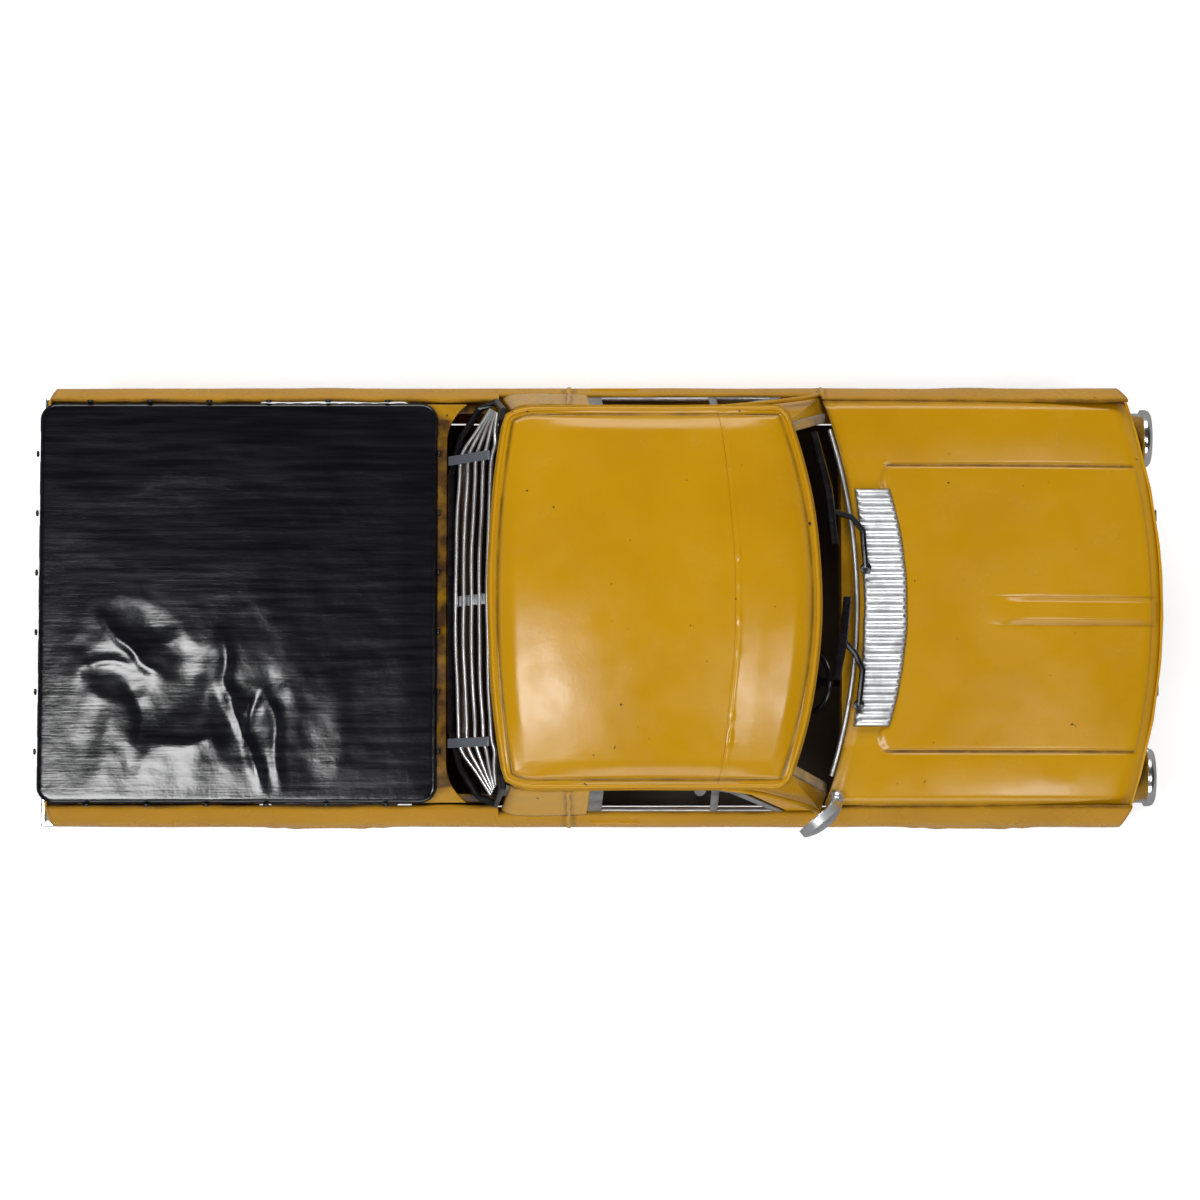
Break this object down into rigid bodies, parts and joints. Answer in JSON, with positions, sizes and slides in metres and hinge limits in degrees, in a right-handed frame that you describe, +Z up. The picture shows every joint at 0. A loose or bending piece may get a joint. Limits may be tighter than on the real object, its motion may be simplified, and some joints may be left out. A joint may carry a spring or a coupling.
{
  "type": "friction tin car",
  "caption": "Handmade sheet-metal coupe utility toy car with a covered bed, open cab and a flywheel friction drive on the rear axle.",
  "frame": {"origin": "on the ground under the middle of the car's length and width", "axes": "+X forward to the nose, +Y to the car's left, +Z up"},
  "size_m": [0.326, 0.1301, 0.0915],
  "materials": {
    "body_paint": "satin mustard enamel, brown wash in the seams",
    "silver_trim": "brushed-on silver",
    "chrome": "bright plating",
    "black_paint": "gloss black",
    "cover_paint": "gloss black enamel, brush marks",
    "grey_strap": "satin grey",
    "base_metal": "matt dark grey",
    "steel": "plain",
    "brass": "plain",
    "flywheel_iron": "turned",
    "seat_paint": "satin brown",
    "headlight_glass": "clear",
    "tail_lens": "gloss red",
    "tyre": "matt black rubber"
  },
  "bodies": {
    "body": {"hood_panel": "body_paint", "cowl_vent": "silver_trim", "nose_panel": "body_paint", "side_panel_left": "body_paint", "side_panel_right": "body_paint", "roof_panel": "body_paint", "roof_visor": "body_paint", "drip_rail": "body_paint", "a_pillar_left": "body_paint", "a_pillar_right": "body_paint", "quarter_panel_left": "body_paint", "quarter_panel_right": "body_paint", "window_frame_left": "silver_trim", "window_frame_right": "silver_trim", "windscreen_trim": "silver_trim", "windscreen_sill_wire": "silver_trim", "rear_window_frame": "black_paint", "rear_window_louvre": "silver_trim", "rear_window_straps": "grey_strap", "deck_panel": "body_paint", "cab_bulkhead": "body_paint", "firewall": "body_paint", "bed_floor": "body_paint", "rear_panel": "body_paint", "tailgate": "body_paint", "tonneau_cover": "cover_paint", "tonneau_studs": "cover_paint", "door_seams": "body_paint", "door_handles": "body_paint", "side_strips": "silver_trim", "front_base_plate": "base_metal", "rear_base_plate": "base_metal", "base_rivets": "steel", "dashboard": "body_paint", "steering_column": "black_paint", "steering_wheel": "black_paint", "bench_seat": "seat_paint", "wipers": "black_paint", "door_mirror": "silver_trim", "grille": "silver_trim", "headlight_bezels": "chrome", "headlight_lenses": "headlight_glass", "front_bumper": "chrome", "bumper_guards": "chrome", "rear_bumper": "chrome", "tail_lights": "tail_lens", "axle_brackets": "base_metal", "motor_frame": "steel", "motor_posts": "steel"},
    "front_axle_set": {"front_axle": "steel", "front_wheels": "chrome", "front_tyres": "tyre"},
    "rear_axle_set": {"rear_axle": "steel", "rear_wheels": "chrome", "rear_tyres": "tyre", "axle_gear": "brass"},
    "idler": {"idler_shaft": "steel", "idler_gears": "brass"},
    "flywheel_set": {"flywheel_shaft": "steel", "flywheel": "flywheel_iron"}
  },
  "joints": [
    {"name": "front_axle_spin", "type": "hinge", "parent": "body", "child": "front_axle_set", "pos_m": [0.106, 0, 0.0195], "axis": [0, 1, 0], "continuous": true},
    {"name": "rear_axle_spin", "type": "hinge", "parent": "body", "child": "rear_axle_set", "pos_m": [-0.078, 0, 0.0195], "axis": [0, 1, 0], "continuous": true},
    {"name": "idler_spin", "type": "hinge", "parent": "body", "child": "idler", "pos_m": [-0.07204, 0, 0.03071], "axis": [0, 1, 0], "continuous": true},
    {"name": "flywheel_spin", "type": "hinge", "parent": "body", "child": "flywheel_set", "pos_m": [-0.05997, 0, 0.03156], "axis": [0, 1, 0], "continuous": true}
  ],
  "couplings": [
    {"joint": "idler_spin", "follows": "rear_axle_spin", "ratio": -2.5},
    {"joint": "flywheel_spin", "follows": "rear_axle_spin", "ratio": 5.8333}
  ]
}
